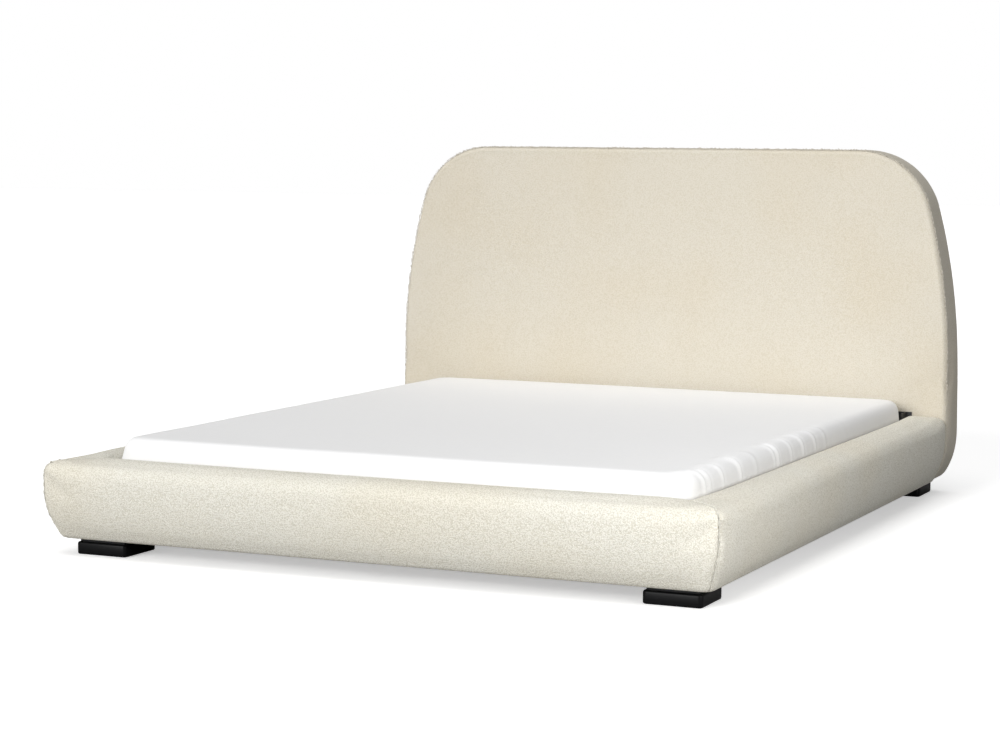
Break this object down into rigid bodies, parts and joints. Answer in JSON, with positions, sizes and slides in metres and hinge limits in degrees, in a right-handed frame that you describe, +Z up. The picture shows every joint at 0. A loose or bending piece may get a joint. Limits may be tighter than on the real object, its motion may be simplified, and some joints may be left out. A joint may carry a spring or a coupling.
{
  "type": "upholstered headboard bed",
  "caption": "Low platform bed with a tall padded headboard, wide padded rails in looped cloth, block feet, a slatted base and a mattress in a fitted sheet.",
  "frame": {"origin": "on the floor, under the middle of the bed's overall length and width", "axes": "+X across the bed to the right seen from the foot end, +Y towards the headboard, +Z up"},
  "size_m": [1.885, 2.32, 1.083],
  "materials": {
    "boucle": "matte",
    "foam": "matte",
    "chipboard": "matte",
    "plywood": "matte",
    "pine": "matte",
    "black_steel": "satin",
    "zinc": "satin",
    "black_plastic": "satin",
    "black_cloth": "matte",
    "webbing": "matte",
    "ticking": "matte",
    "cotton": "matte"
  },
  "bodies": {
    "frame": {"beam_hanger_foot": "black_steel", "beam_hanger_head": "black_steel", "centre_beam": "pine", "corner_angle_left": "black_steel", "corner_angle_right": "black_steel", "foot_front_left": "black_plastic", "foot_front_right": "black_plastic", "foot_plate_front_left": "black_steel", "foot_plate_front_right": "black_steel", "foot_plate_rear_left": "black_steel", "foot_plate_rear_right": "black_steel", "foot_rail_board": "chipboard", "foot_rail_cover": "boucle", "foot_rail_foam": "foam", "foot_rear_left": "black_plastic", "foot_rear_right": "black_plastic", "head_bolt_left_lower": "zinc", "head_bolt_left_upper": "zinc", "head_bolt_right_lower": "zinc", "head_bolt_right_upper": "zinc", "head_bracket_left": "black_steel", "head_bracket_right": "black_steel", "headboard_back_cloth": "black_cloth", "headboard_cover": "boucle", "headboard_crossbar_bottom": "pine", "headboard_crossbar_top": "pine", "headboard_foam": "foam", "headboard_panel": "plywood", "headboard_post_left": "pine", "headboard_post_right": "pine", "ledger_left": "black_steel", "ledger_right": "black_steel", "middle_leg_front": "black_steel", "middle_leg_rear": "black_steel", "side_rail_left_board": "chipboard", "side_rail_left_cover": "boucle", "side_rail_left_foam": "foam", "side_rail_right_board": "chipboard", "side_rail_right_cover": "boucle", "side_rail_right_foam": "foam", "slat_01": "pine", "slat_02": "pine", "slat_03": "pine", "slat_04": "pine", "slat_05": "pine", "slat_06": "pine", "slat_07": "pine", "slat_08": "pine", "slat_09": "pine", "slat_10": "pine", "slat_11": "pine", "slat_12": "pine", "slat_13": "pine", "slat_14": "pine", "slat_tape_left": "webbing", "slat_tape_right": "webbing"},
    "mattress": {"mattress_core": "ticking", "fitted_sheet": "cotton"},
    "glide_front": {"middle_glide_front": "black_plastic"},
    "glide_rear": {"middle_glide_rear": "black_plastic"}
  },
  "joints": [
    {"name": "mattress_lift", "type": "slide", "parent": "frame", "child": "mattress", "axis": [0, 0, 1], "range_m": [0, 0.3]},
    {"name": "glide_front_screw", "type": "slide", "parent": "frame", "child": "glide_front", "axis": [0, 0, 1], "range_m": [-0.008, 0.008]},
    {"name": "glide_rear_screw", "type": "slide", "parent": "frame", "child": "glide_rear", "axis": [0, 0, 1], "range_m": [-0.008, 0.008]}
  ]
}
